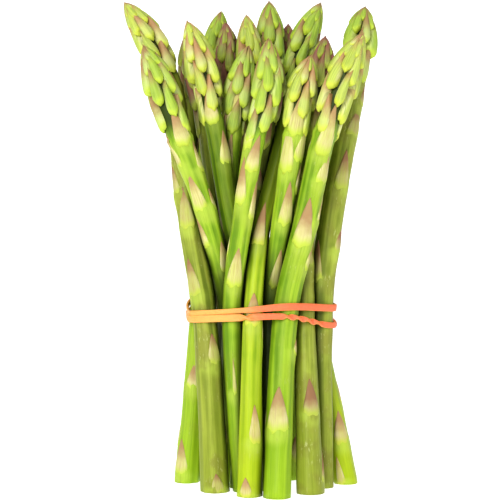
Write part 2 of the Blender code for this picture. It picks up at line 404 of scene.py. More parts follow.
@dataclass(frozen=True)
class BandRubber:
    """Stretched natural rubber: amber at the left, salmon where it is pulled flat at the right."""

    amber: tuple[float, float, float] = (0.93, 0.42, 0.10)
    salmon: tuple[float, float, float] = (0.88, 0.17, 0.07)

    def make(self) -> bpy.types.Material:
        """Builds the material.

        Returns:
            The material.
        """
        paint = Paint("band_rubber")
        place = paint.node("ShaderNodeTexCoord")
        where = Socket(paint.tree, place.outputs["Object"])
        apart = paint.node("ShaderNodeSeparateXYZ")
        paint.tree.links.new(where.output, apart.inputs[0])
        rightness = Socket(paint.tree, apart.outputs["X"])
        # Painted highlight: surfaces that face up or down are painted a lighter yellow-orange.
        flat = paint.attribute("face")
        dust = paint.noise(where, 700.0, 4.0, 0.6)
        lines = paint.noise(paint.stretched(where, (0.25, 0.25, 3.0)), 900.0, 3.0)
        pull = rightness.between(-0.012, 0.010)
        colour = paint.mix((pull * 0.85 + dust * 0.2).clamped(), self.amber, self.salmon)
        colour = paint.mix(flat * 0.55, colour, (1.0, 0.50, 0.16))
        colour = paint.mix(lines.between(0.5, 0.8) * 0.25, colour, (0.72, 0.10, 0.03))
        paint.finish(colour, dust * 0.2 + 0.42, dust * 0.5 + lines * 0.5, 0.06 * MM)
        paint.shader.inputs["Subsurface Weight"].default_value = 0.25
        paint.shader.inputs["Subsurface Radius"].default_value = (1.0, 0.35, 0.15)
        paint.shader.inputs["Subsurface Scale"].default_value = 0.8 * MM
        return paint.material


@dataclass
class Finishes:
    """Every finish of the bundle, made once."""

    stalks: dict[Tone, bpy.types.Material] = field(init=False)
    leaves: dict[Tone, bpy.types.Material] = field(init=False)
    buds: dict[Tone, bpy.types.Material] = field(init=False)
    cut: bpy.types.Material = field(init=False)
    rubber: bpy.types.Material = field(init=False)

    def __post_init__(self) -> None:
        """Makes the materials."""
        skins = (
            StalkSkin(Tone.GREEN, (0.36, 0.53, 0.035), (0.13, 0.25, 0.008), (0.34, 0.52, 0.015), 0.35),
            StalkSkin(Tone.BRIGHT, (0.44, 0.56, 0.03), (0.20, 0.32, 0.006), (0.42, 0.53, 0.006), 0.25),
            StalkSkin(Tone.OLIVE, (0.36, 0.42, 0.06), (0.13, 0.17, 0.012), (0.30, 0.36, 0.035), 1.0),
        )
        self.stalks = {skin.tone: skin.make() for skin in skins}
        leaves = {
            Tone.GREEN: LeafSkin("leaf_green", (0.46, 0.58, 0.05), (0.56, 0.52, 0.22), (0.68, 0.63, 0.32),
                                 (0.38, 0.24, 0.11), 0.60),
            Tone.BRIGHT: LeafSkin("leaf_bright", (0.50, 0.56, 0.05), (0.56, 0.49, 0.21), (0.68, 0.60, 0.34),
                                  (0.42, 0.25, 0.12), 0.55),
            Tone.OLIVE: LeafSkin("leaf_olive", (0.42, 0.50, 0.06), (0.44, 0.42, 0.15), (0.54, 0.50, 0.24),
                                 (0.30, 0.16, 0.08), 0.48),
        }
        self.leaves = {tone: skin.make() for tone, skin in leaves.items()}
        sap = (0.17, 0.27, 0.03)
        buds = {
            Tone.GREEN: LeafSkin("bud_green", (0.48, 0.60, 0.06), (0.31, 0.44, 0.07), (0.62, 0.66, 0.30),
                                 (0.34, 0.22, 0.10), 0.66, sap, 0.50),
            Tone.BRIGHT: LeafSkin("bud_bright", (0.55, 0.62, 0.07), (0.42, 0.50, 0.11), (0.70, 0.68, 0.36),
                                  (0.42, 0.25, 0.12), 0.66, sap, 0.50),
            Tone.OLIVE: LeafSkin("bud_olive", (0.42, 0.50, 0.07), (0.27, 0.33, 0.07), (0.52, 0.48, 0.24),
                                 (0.28, 0.13, 0.09), 0.48, (0.20, 0.12, 0.05), 0.50),
        }
        self.buds = {tone: skin.make() for tone, skin in buds.items()}
        self.cut = CutEnd().make()
        self.rubber = BandRubber().make()


# ---------------------------------------------------------------------------------------------
# Shapes


def deselect() -> None:
    """Leaves nothing selected, so that an operator acts only on what is made next."""
    if bpy.context.object and bpy.context.object.mode != "OBJECT":
        bpy.ops.object.mode_set(mode="OBJECT")
    bpy.ops.object.select_all(action="DESELECT")


def places_of(mesh: bpy.types.Mesh) -> np.ndarray:
    """The places of a mesh's vertices, one row each."""
    flat = np.empty(len(mesh.vertices) * 3, np.float32)
    mesh.vertices.foreach_get("co", flat)
    return flat.reshape(-1, 3).astype(float)


def put_places(mesh: bpy.types.Mesh, places: np.ndarray) -> None:
    """Moves a mesh's vertices to the given places."""
    mesh.vertices.foreach_set("co", places.astype(np.float32).ravel())
    mesh.update()


def store(mesh: bpy.types.Mesh, name: str, values: np.ndarray) -> None:
    """Stores a number, or a vector, for each vertex under a name.

    Args:
        mesh: the mesh.
        name: the attribute's name.
        values: one row for each vertex.
    """
    kind, key = ("FLOAT_VECTOR", "vector") if values.ndim == 2 else ("FLOAT", "value")
    layer = mesh.attributes.get(name) or mesh.attributes.new(name, kind, "POINT")
    layer.data.foreach_set(key, values.astype(np.float32).ravel())


@dataclass
class Spine:
    """The middle line and thickness of one spear, read from its solid in the frame."""

    node: str
    girth: float = 1.0
    nudge: float = 0.0
    eased_at: float = 0.0
    eased_over: float = 30 * MM
    step: float = 2.5 * MM
    sides_area: float = 5 * math.sin(math.radians(36))  # area of a ten-sided slice of radius 1

    def __post_init__(self) -> None:
        """Slices the solid level by level and smooths what it finds."""
        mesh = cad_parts[self.node].data
        mesh.calc_loop_triangles()
        corners = np.empty(len(mesh.loop_triangles) * 3, np.int32)
        mesh.loop_triangles.foreach_get("vertices", corners)
        triangles = places_of(mesh)[corners].reshape(-1, 3, 3)
        self.top = float(triangles[..., 2].max())
        count = round((self.top - 0.8 * MM) / self.step)
        levels = np.linspace(0.3 * MM, self.top - 0.5 * MM, count + 1)
        slices = np.array([self._slice(triangles, level) for level in levels])
        middle = slices[:, :2]
        for _ in range(10):
            middle[1:-1] = middle[1:-1] / 2 + (middle[:-2] + middle[2:]) / 4
        places = np.column_stack([middle, levels])
        ends = (places[0] + (places[0] - places[1]) * 0.3 * MM / self.step, places[-1])
        lift = places[-1] - places[-2]
        tip = places[-1] + lift * (self.top - levels[-1]) / lift[2]
        self.places = np.vstack([ends[0], places, tip])
        self.places[0, 2] = 0.0
        eased = np.exp(-(((self.places[:, 2] - self.eased_at) / self.eased_over) ** 2))
        self.places[:, 0] += self.nudge * eased
        self.travel = np.concatenate([[0.0], np.cumsum(np.linalg.norm(np.diff(self.places, axis=0), axis=1))])
        self.length = float(self.travel[-1])
        heading = np.gradient(self.places, self.travel, axis=0)
        self.heading = heading / np.linalg.norm(heading, axis=1, keepdims=True)
        area = np.concatenate([[slices[0, 2]], slices[:, 2], [0.0]])
        self.thick = np.sqrt(area * self.heading[:, 2] / self.sides_area) * (1 + (self.girth - 1) * eased)

    @staticmethod
    def _slice(triangles: np.ndarray, level: float) -> tuple[float, float, float]:
        """Measures the solid's slice at a level.

        Args:
            triangles: the corners of the solid's triangles.
            level: the height of the slice.

        Returns:
            The middle's x and y, and the area.
        """
        low = triangles[..., 2].min(axis=1) < level
        high = triangles[..., 2].max(axis=1) > level
        found = []
        for a, b in ((0, 1), (1, 2), (2, 0)):
            first = triangles[low & high][:, a]
            second = triangles[low & high][:, b]
            crossing = (first[:, 2] - level) * (second[:, 2] - level) < 0
            share = ((level - first[:, 2]) / np.where(crossing, second[:, 2] - first[:, 2], 1.0))[:, None]
            found.append((first + (second - first) * share)[crossing][:, :2])
        points = np.vstack(found)
        rough = points.mean(axis=0)
        order = np.argsort(np.arctan2(points[:, 1] - rough[1], points[:, 0] - rough[0]))
        ring = points[order]
        after = np.roll(ring, -1, axis=0)
        cross = ring[:, 0] * after[:, 1] - after[:, 0] * ring[:, 1]
        area = cross.sum() / 2
        middle = ((ring + after) * cross[:, None]).sum(axis=0) / (6 * area)
        return float(middle[0]), float(middle[1]), abs(float(area))

    def at_height(self, height: float) -> float:
        """How far along the spear a height above the ground is.

        Args:
            height: the height.

        Returns:
            The distance from the foot.
        """
        return float(np.interp(height, self.places[:, 2], self.travel))

    def read(self, travel: np.ndarray) -> tuple[np.ndarray, np.ndarray, np.ndarray, np.ndarray]:
        """The spear's middle at some distances from its foot, and its axes there.

        Args:
            travel: distances along the spear. Past an end, the line runs straight on.

        Returns:
            The middle, the direction to the right, the direction to the back, and the heading.
        """
        held = np.clip(travel, 0.0, self.length)
        middle = np.column_stack([np.interp(held, self.travel, self.places[:, i]) for i in range(3)])
        heading = np.column_stack([np.interp(held, self.travel, self.heading[:, i]) for i in range(3)])
        heading /= np.linalg.norm(heading, axis=1, keepdims=True)
        middle += heading * (travel - held)[:, None]
        right = np.array([1.0, 0.0, 0.0]) - heading * heading[:, :1]
        right /= np.linalg.norm(right, axis=1, keepdims=True)
        return middle, right, np.cross(heading, right), heading

    def radius(self, travel: np.ndarray) -> np.ndarray:
        """The solid's radius at some distances from the foot."""
        return np.interp(travel, self.travel, self.thick)

    def gap_to(self, places: np.ndarray) -> np.ndarray:
        """How far some places are from this spear's skin.

        Args:
            places: the places, one row each.

        Returns:
            The distances, less than 0 inside the spear.
        """
        height = places[:, 2]
        beside = np.column_stack([np.interp(height, self.places[:, 2], self.places[:, i]) for i in range(2)])
        thick = np.interp(height, self.places[:, 2], self.thick, right=-10 * MM)
        return np.linalg.norm(places[:, :2] - beside, axis=1) - thick


@dataclass(frozen=True)
class ScaleLeaf:
    """One scale leaf: where it joins the spear and how it is shaped.

    fullness is 0 for a flat papery leaf on the stalk and 1 for a plump scale of the bud.
    """

    joint: float
    bearing: float
    length: float
    half_width: float
    fullness: float
    rise: float
    lean: float = 0.0


@dataclass
class Stencils:
    """The two shapes that are modelled once and copied: a fine tube and a leaf's closed slab."""

    sides: int = 36
    rings: int = 150
    across: int = 12
    along: int = 14

    def __post_init__(self) -> None:
        """Models both shapes."""
        self.tube = self._tube()
        self.slab = self._slab()

    def _tube(self) -> bpy.types.Mesh:
        """A tube of radius 1 from 0 to 1, with a dished and inset cut end below.

        Returns:
            The tube's mesh.
        """
        deselect()
        bpy.ops.mesh.primitive_cylinder_add(
            vertices=self.sides, radius=1.0, depth=1.0, end_fill_type="NGON", location=(0, 0, 0.5)
        )
        tube = bpy.context.object
        bpy.ops.object.transform_apply(location=True)
        bpy.ops.object.mode_set(mode="EDIT")
        bpy.ops.mesh.select_mode(type="EDGE")
        bpy.ops.mesh.select_all(action="DESELECT")
        bpy.ops.object.mode_set(mode="OBJECT")
        mesh = tube.data
        for edge in mesh.edges:
            ends = [mesh.vertices[i].co.z for i in edge.vertices]
            edge.select = abs(ends[0] - ends[1]) > 0.5
        bpy.ops.object.mode_set(mode="EDIT")
        bpy.ops.mesh.subdivide(number_cuts=self.rings)
        bpy.ops.mesh.select_all(action="DESELECT")
        bpy.ops.mesh.select_mode(type="FACE")
        bpy.ops.object.mode_set(mode="OBJECT")
        for face in mesh.polygons:
            face.select = face.normal.z < -0.9
        bpy.ops.object.mode_set(mode="EDIT")
        for width in (0.05, 0.10, 0.30):
            bpy.ops.mesh.inset(thickness=width, depth=0.0)
        bpy.ops.mesh.poke()
        bpy.ops.object.mode_set(mode="OBJECT")
        mesh.shade_smooth()
        return self._kept(tube)

    def _slab(self) -> bpy.types.Mesh:
        """A closed slab: x across from -1 to 1, y along from 0 to 1, z 0 below and 1 above.

        Returns:
            The slab's mesh.
        """
        deselect()
        bpy.ops.mesh.primitive_grid_add(
            x_subdivisions=self.across, y_subdivisions=self.along, size=2.0, location=(0, 0, 0)
        )
        slab = bpy.context.object
        bpy.ops.object.mode_set(mode="EDIT")
        bpy.ops.mesh.select_all(action="SELECT")
        bpy.ops.transform.translate(value=(0, 1, 0))
        bpy.ops.transform.resize(value=(1, 0.5, 1), center_override=(0, 0, 0))
        bpy.ops.mesh.extrude_region_move(TRANSFORM_OT_translate={"value": (0, 0, 1)})
        bpy.ops.mesh.select_all(action="SELECT")
        bpy.ops.mesh.normals_make_consistent(inside=False)
        bpy.ops.object.mode_set(mode="OBJECT")
        slab.data.shade_smooth()
        return self._kept(slab)

    @staticmethod
    def _kept(thing: bpy.types.Object) -> bpy.types.Mesh:
        """Keeps an object's mesh and removes the object."""
        mesh = thing.data
        mesh.use_fake_user = True
        bpy.data.objects.remove(thing, do_unlink=True)
        return mesh


def joined(parts: list[bpy.types.Object], name: str) -> bpy.types.Object:
    """Joins objects into one and names it.

    Args:
        parts: the objects.
        name: the name of the result.

    Returns:
        The joined object.
    """
    deselect()
    for part in parts:
        part.select_set(True)
    bpy.context.view_layer.objects.active = parts[0]
    bpy.ops.object.join()
    whole = bpy.context.object
    whole.name = name
    whole.data.name = name
    return whole


@dataclass
class SpearLook:
    """One spear as it looks: its stalk, the scale leaves along it and the bud at its tip.

    leaves holds the leaves given one by one. girth and nudge thicken the stalk and move it to the
    right, in mm, about the height eased_at. shade darkens the stalk above the height shade_above.
    """

    node: str
    tone: Tone
    bud_length: float
    leaves: tuple[tuple[float, float, float, float], ...] = ()
    bud_turn: float = 0.0
    bud_tone: Tone | None = None
    plump: float = 1.0
    leaf_width: float = 0.80
    girth: float = 1.0
    nudge: float = 0.0
    eased_at: float = 0.0
    # shade is painted shade: it darkens the stalk's colour above shade_above, where it stands in the others'
    # shadow.
    shade: float = 0.0
    shade_above: float = 0.0

    def find_spine(self) -> None:
        """Reads the spear's solid."""
        self.spine = Spine(self.node, self.girth, self.nudge * MM, self.eased_at * MM)

    def shade_between(self, places: np.ndarray) -> np.ndarray:
        """How strongly to paint shade on some places of this one, from how closely the other spears stand
        round them.

        Args:
            places: the places, one row each.

        Returns:
            0 in the open and up to 1 in the narrowest gaps.
        """
        nearest = np.zeros(len(places))
        all_round = np.zeros(len(places))
        for other in SPEARS:
            if other is not self:
                gap = np.maximum(other.spine.gap_to(places), 0.0)
                nearest = np.maximum(nearest, np.exp(-gap / (2.5 * MM)))
                all_round += np.exp(-gap / (6.0 * MM))
        return np.maximum(nearest, np.clip((all_round - 1.15) / 1.3, 0.0, 0.85))

    def build(self, stencils: Stencils, finishes: Finishes, seed: int) -> None:
        """Builds the spear and puts it in place of its solid.

        Args:
            stencils: the shapes to copy.
            finishes: the materials.
            seed: makes this spear's small irregularities its own.
        """
        self.chance = np.random.default_rng(seed)
        self.bud_start = self.spine.length - self.bud_length
        bud_tone = self.bud_tone or self.tone
        stem = self._stem_leaves()
        self.collars = [(leaf.joint, leaf.bearing) for leaf in stem]
        stalk = self._stalk(stencils, finishes)
        leaves = self._scales(stencils, stem, self.node + "_leaves", finishes.leaves[self.tone])
        bud = self._scales(stencils, self._bud_scales(), self.node + "_bud", finishes.buds[bud_tone])
        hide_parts(self.node)
        for piece in (stalk, leaves, bud):
            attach(piece, ROOT_BODY)
        LOG.info("%s: %d leaves on the stalk", self.node, len(stem))

    def _stem_leaves(self) -> list[ScaleLeaf]:
        """The leaves on the stalk: the chosen ones, and others round the back or all by rule.

        Returns:
            The leaves.
        """
        found = []
        for height, bearing, length, half_angle in self.leaves:
            joint = self.spine.at_height(height * MM)
            found.append(self._stem_leaf(joint, bearing, length * MM, half_angle))
        gap = 12 * MM
        joint = self.bud_start + 2 * MM
        bearing = self.bud_turn + 40.0
        while joint > 4 * MM:
            facing = math.cos(math.radians(bearing))
            if not self.leaves or facing < -0.25:
                half_angle = 62 + 14 * self.chance.random()
                length = (14 + 5 * self.chance.random()) * MM
                found.append(self._stem_leaf(joint, bearing, length, half_angle))
            joint -= gap * (0.85 + 0.3 * self.chance.random())
            gap *= 1.16 if not self.leaves else 1.04
            bearing += GOLDEN_ANGLE
        return found

    def _stem_leaf(self, joint: float, bearing: float, length: float, half_angle: float) -> ScaleLeaf:
        """One leaf on the stalk, as wide as an angle round it.

        Args:
            joint: how far along the spear it joins.
            bearing: the direction it faces.
            length: its length.
            half_angle: half the angle it covers, in degrees.

        Returns:
            The leaf.
        """
        radius = float(self.spine.radius(np.array([joint]))[0])
        half_width = radius * math.radians(half_angle * self.leaf_width)
        fullness = 0.22 * float(np.clip(1 - (self.bud_start - joint) / (30 * MM), 0, 1))
        rise = (0.62 + 1.2 * fullness) * MM
        lean = (self.chance.random() - 0.5) * 0.5
        return ScaleLeaf(joint, bearing, length, half_width, fullness, rise, lean)

    def _bud_scales(self) -> list[ScaleLeaf]:
        """The plump scales of the bud, in a spiral from the tip down.

        Returns:
            The scales.
        """
        found = []
        below_tip = 2.6 * MM
        bearing = self.bud_turn
        while below_tip < self.bud_length + 2 * MM:
            ripe = min(below_tip / (18 * MM), 1.0)
            length = min((5.0 + 9.5 * ripe) * MM, below_tip + 0.5 * MM) * (0.94 + 0.12 * self.chance.random())
            radius = self._envelope(self.spine.length - below_tip + length * 0.3)
            half_width = min((1.3 + 1.7 * ripe) * MM, radius * 1.2) * self.plump
            half_width *= 0.88 + 0.24 * self.chance.random()
            share = below_tip / self.bud_length
            fullness = 1.0 - 0.5 * float(np.clip((share - 0.65) / 0.4, 0, 1))
            rise = MM * (0.45 + 0.55 * ripe)
            lean = (self.chance.random() - 0.5) * 0.9
            joint = self.spine.length - below_tip
            found.append(ScaleLeaf(joint, bearing, length, half_width, fullness, rise, lean))
            below_tip += (0.85 + 0.95 * ripe) * MM * (1 + 1.6 * max(share - 0.55, 0))
            bearing += GOLDEN_ANGLE + (self.chance.random() - 0.5) * 14
        return found

    def _envelope(self, travel: float) -> float:
        """The bud's outer radius at a distance from the foot."""
        return float(self.spine.radius(np.array([travel]))[0])

    def _core(self, travel: np.ndarray) -> np.ndarray:
        """The radius of the stalk's own flesh, which narrows inside the bud."""
        outer = self.spine.radius(travel)
        share = np.clip((self.spine.length - travel) / self.bud_length, 0.0, 1.0)
        neck = self.spine.radius(np.array([self.bud_start]))[0]
        inner = neck * 0.92 * share**0.62
        return np.where(travel > self.bud_start, np.minimum(outer * 0.86, inner), outer)

    def _stalk(self, stencils: Stencils, finishes: Finishes) -> bpy.types.Object:
        """The stalk and the bud's core, copied from the tube and wrapped round the spine.

        Args:
            stencils: the shapes to copy.
            finishes: the materials.

        Returns:
            The stalk.
        """
        mesh = stencils.tube.copy()
        local = places_of(mesh)
        reach = np.hypot(local[:, 0], local[:, 1])
        angle = np.arctan2(local[:, 0], -local[:, 1])
        travel = local[:, 2] * (self.spine.length - 0.6 * MM)
        middle, right, back, _ = self.spine.read(travel)
        radius = self._core(travel)
        waves = self.chance.random((6, 3))
        flutes = np.zeros_like(travel)
        for count, (phase, drift, size) in zip((2, 3, 5, 7, 9, 13), waves):
            turn = count * angle + 2 * math.pi * phase + (drift - 0.5) * travel * 34
            flutes += np.cos(turn) * (0.3 + size) * 0.085 * MM
        swell = np.zeros_like(travel)
        for joint, bearing in self.collars:
            facing = np.exp((np.cos(angle - math.radians(bearing)) - 1) * 1.6)
            rise = np.exp(-(np.clip((joint - travel) / (6.5 * MM), 0, 3) ** 2))
            rise *= np.exp(-(np.clip((travel - joint) / (2.0 * MM), 0, 3) ** 2))
            swell += 0.50 * MM * facing * rise
        radius = radius * (1 + 0.014 * np.sin(travel * 140 + 6 * waves[0, 0])) + flutes + swell
        radius = np.maximum(radius, 0.2 * MM)
        outward = right * np.sin(angle)[:, None] - back * np.cos(angle)[:, None]
        places = middle + outward * (radius * reach)[:, None]
        places[:, 2] = np.maximum(places[:, 2], 0.0)
        bottom = local[:, 2] < 1e-6
        places[bottom, 2] = 0.15 * MM * (1 - np.clip(reach[bottom] * 1.06, 0, 1))
        put_places(mesh, places)
        grown = np.column_stack([np.sin(angle) * radius * reach, -np.cos(angle) * radius * reach, travel])
        store(mesh, "grown", grown + np.array([self.chance.random(), self.chance.random(), 0.0]))
        store(mesh, "height", np.clip(travel / 0.2, 0, 1))
        # The flutes' relief, kept for the painted shade in the grooves.
        store(mesh, "ridge", np.clip(0.5 + flutes / (0.5 * MM), 0, 1))
        store(mesh, "collar", np.clip(swell / (0.4 * MM), 0, 1))
        # Painted shade: the core inside the bud is darkened, where the scales cover it.
        store(mesh, "painted_shade_under", np.clip((travel - self.bud_start - 1 * MM) / (6 * MM), 0, 1))
        # Painted shade on this stalk above shade_above, joined with the painted shade between the spears.
        deep = np.clip((places[:, 2] / MM - self.shade_above) / 25, 0, 1)
        store(mesh, "painted_shade_between", np.maximum(self.shade_between(places), self.shade * deep))
        mesh.materials.clear()
        mesh.materials.append(finishes.stalks[self.tone])
        mesh.materials.append(finishes.cut)
        for face in mesh.polygons:
            inner = all(local[i, 2] < 1e-6 for i in face.vertices)
            face.material_index = int(inner)
            face.use_smooth = not inner
        stalk = bpy.data.objects.new(self.node + "_stalk", mesh)
        bpy.context.scene.collection.objects.link(stalk)
        return stalk

    def _scales(
        self, stencils: Stencils, scales: list[ScaleLeaf], name: str, material: bpy.types.Material
    ) -> bpy.types.Object:
        """Copies the slab for every scale, shapes each copy and joins them.

        Args:
            stencils: the shapes to copy.
            scales: the scales to make.
            name: the name of the piece.
            material: its finish.

        Returns:
            The joined piece.
        """
        copies = []
        for scale in scales:
            mesh = stencils.slab.copy()
            self._shape(mesh, scale)
            mesh.materials.clear()
            mesh.materials.append(material)
            copy = bpy.data.objects.new(name, mesh)
            bpy.context.scene.collection.objects.link(copy)
            copies.append(copy)
        return joined(copies, name)

    def _shape(self, mesh: bpy.types.Mesh, scale: ScaleLeaf) -> None:
        """Bends one copy of the slab into a scale that lies on the spear.

        Args:
            mesh: the copy.
            scale: the scale's place and form.
        """
        local = places_of(mesh)
        u = local[:, 0]
        v = local[:, 1]
        outer = local[:, 2] > 0.5
        full = scale.fullness
        papery = (1 - v) ** 0.80 * (1 + 0.30 * v * (1 - v))
        rounded = np.sqrt(np.clip(1 - (1 - np.clip(v / 0.20, 0, 1)) ** 2, 0, 1))
        tapering = (1 - np.clip((v - 0.20) / 0.80, 0, 1) ** 1.25) ** 0.95
        plump = np.where(v < 0.20, 0.70 + 0.30 * rounded, tapering)
        width = scale.half_width * (papery * (1 - full) + plump * full) + 0.06 * MM
        wave = 0.55 * MM * np.sin(u * 7 + scale.bearing) * (1 - v) ** 4
        sag = (1.9 + 0.3 * full) * MM * (1 - np.abs(u) ** (1.5 - 0.4 * full)) * (1 - v) ** 2
        travel = scale.joint + scale.length * v - sag + wave * (1 - 0.6 * full)
        middle, right, back, _ = self.spine.read(travel)
        core = self._core(np.clip(travel, 0, self.spine.length))
        surface = core * (1 - full) + np.maximum(core, 0) * full
        envelope = self.spine.radius(np.clip(travel, 0, self.spine.length))
        crest = (envelope - core) * full
        foot = np.clip(v / (0.09 + 0.09 * full), 0, 1)
        swelling = np.sqrt(np.clip(1 - (1 - foot) ** 2, 0, 1))
        fade = 1 - (0.62 - 0.25 * full) * np.clip((v - 0.3) / 0.7, 0, 1) ** 1.2
        lift = (scale.rise * fade + crest) * (0.50 + 0.50 * swelling)
        crown = np.clip(1 - np.abs(u) ** (7.0 - 3.0 * full), 0, 1) ** 0.5
        crown = crown * (1 - 0.16 * full * np.abs(u)) + (1 - full) * 0.35 * (1 - v) * (np.abs(u) > 0.99)
        keel = 0.26 * MM * full * np.exp(-((u / 0.22) ** 2)) * np.sqrt(1 - v)
        radius = surface + (lift + keel) * crown - 0.05 * MM
        radius = np.where(outer, radius, surface - 0.35 * MM)
        radius = np.maximum(radius, 0.12 * MM)
        reach = np.maximum(surface + lift * 0.6, 1.3 * MM)
        turn = math.radians(scale.bearing) + np.clip(u * width / reach, -1.9, 1.9)
        turn = turn + scale.lean * v * v * width.max() / reach * 0.8
        outward = right * np.sin(turn)[:, None] - back * np.cos(turn)[:, None]
        places = middle + outward * radius[:, None]
        places[:, 2] = np.maximum(places[:, 2], 0.05 * MM)
        put_places(mesh, places)
        offset = self.chance.random(2) * 0.5
        grown = np.column_stack([u * width + offset[0], np.full_like(u, offset[1]), travel])
        store(mesh, "grown", grown)
        store(mesh, "along", v)
        store(mesh, "across", np.abs(u))
        store(mesh, "tint", np.full_like(u, self.chance.random()))
        # Painted shade on the slab's underside and inner walls.
        store(mesh, "painted_shade_under", np.where(outer, 0.0, 1.0))
        # Painted shade where the other spears stand close.
        store(mesh, "painted_shade_between", self.shade_between(places))


# Each leaf is (height of its joint in mm, bearing, length in mm, half its width as an angle).
SPEARS = (
    SpearLook("spear_left_tall", Tone.OLIVE, 0.043, (
        (130, -70, 14, 60), (115.5, -12, 17, 62), (86, -40, 16, 62), (56, 35, 12, 50), (1, 12, 7, 40)),
        20.0, Tone.BRIGHT),
    SpearLook("spear_left_front", Tone.GREEN, 0.041, (
        (151, 22, 15, 62), (142, -78, 14, 60), (138.5, 78, 13, 55), (124, -16, 16.5, 62), (123, 80, 8, 50),
        (108.5, -66, 14.5, 60), (97, 42, 13.5, 58), (75, -8, 9, 55)), 75.0),
    SpearLook("spear_left_pale", Tone.GREEN, 0.042, ((161, -5, 15, 65), (143, 40, 14, 60)), 10.0, Tone.BRIGHT,
              shade=0.48),
    SpearLook("spear_middle_left", Tone.GREEN, 0.038, (
        (160, -5, 16.5, 62), (152.5, -78, 18, 58), (140, -20, 28, 60), (114, 0, 18, 60)), 140.0),
    SpearLook("spear_middle_front", Tone.GREEN, 0.042, (
        (149, -58, 21, 62), (140, 12, 15, 66), (126, -42, 19, 62), (119, 72, 17.5, 60), (90.5, 0, 16.5, 74),
        (43, 0, 15, 16)), 0.0),
    SpearLook("spear_middle_bright", Tone.BRIGHT, 0.042, (
        (107, -8, 18.5, 66), (73, 4, 13, 78), (23, 26, 15.5, 48), (1, -18, 7, 40)), 60.0, Tone.GREEN,
        shade=0.50, shade_above=98),
    SpearLook("spear_middle_short", Tone.GREEN, 0.034, (
        (155.5, 0, 16.5, 62), (140, -26, 21.5, 60), (145, 52, 14.5, 58), (131, 84, 14, 55),
        (117.5, 18, 18.5, 64),
        (90, 20, 17, 62)), 100.0, Tone.BRIGHT),
    SpearLook("spear_right_leaning", Tone.GREEN, 0.044, (
        (147.5, 8, 21, 66), (135.5, 42, 12.5, 55), (108, 0, 21, 72), (118, 84, 9, 40), (98.5, 78, 11, 45),
        (61, 78, 5.5, 30), (27.5, -12, 18.5, 76)), 35.0, Tone.BRIGHT),
    SpearLook("spear_right_purple", Tone.OLIVE, 0.034, (
        (156, 15, 17.5, 60), (126.5, -25, 20, 62), (98.5, 28, 9, 50), (33.5, 20, 15, 60)), 0.0),
    SpearLook("spear_right_tall", Tone.OLIVE, 0.034, (
        (170, 78, 8, 50), (156.5, 42, 11, 66), (133, 20, 16.5, 52), (105, 64, 10.5, 48), (92, -54, 17, 55),
        (2, -25, 9, 30)), 80.0, Tone.GREEN, girth=1.14, nudge=-1.8, eased_at=120),
    SpearLook("spear_crossing_dark", Tone.BRIGHT, 0.040, (
        (18.5, 28, 14, 62), (1, -22, 12, 28)), 150.0, Tone.GREEN),
    SpearLook("spear_back_left_bright", Tone.GREEN, 0.038, ((44, -6, 10.5, 62), (5, -42, 15, 60)), 110.0),
    SpearLook("spear_left_slim", Tone.OLIVE, 0.036, (
        (159, 60, 14, 58), (144, 80, 15, 55), (131, 50, 13, 55)), 50.0),
    SpearLook("spear_middle_yellow", Tone.BRIGHT, 0.042, (
        (150, -22, 15, 66), (133, -20, 18, 58), (119, -72, 18, 58)), 65.0),
    SpearLook("spear_middle_pink", Tone.OLIVE, 0.036, (), 15.0),
    SpearLook("spear_left_dark", Tone.OLIVE, 0.034, (), 130.0, girth=1.12, nudge=1.3, eased_at=86),
    SpearLook("spear_right_slim", Tone.GREEN, 0.034, (), 5.0, Tone.OLIVE),
    SpearLook("spear_middle_dark", Tone.OLIVE, 0.036, (
        (133, -12, 11, 60), (152, 10, 15, 60)), 95.0, shade=0.55),
    SpearLook("spear_back_left", Tone.GREEN, 0.038, (), 25.0),
    SpearLook("spear_back_middle", Tone.BRIGHT, 0.038, (), 70.0),
    SpearLook("spear_back_right", Tone.GREEN, 0.038, (), 45.0, Tone.BRIGHT),
    SpearLook("spear_back_far_right", Tone.OLIVE, 0.038, (), 120.0),
)


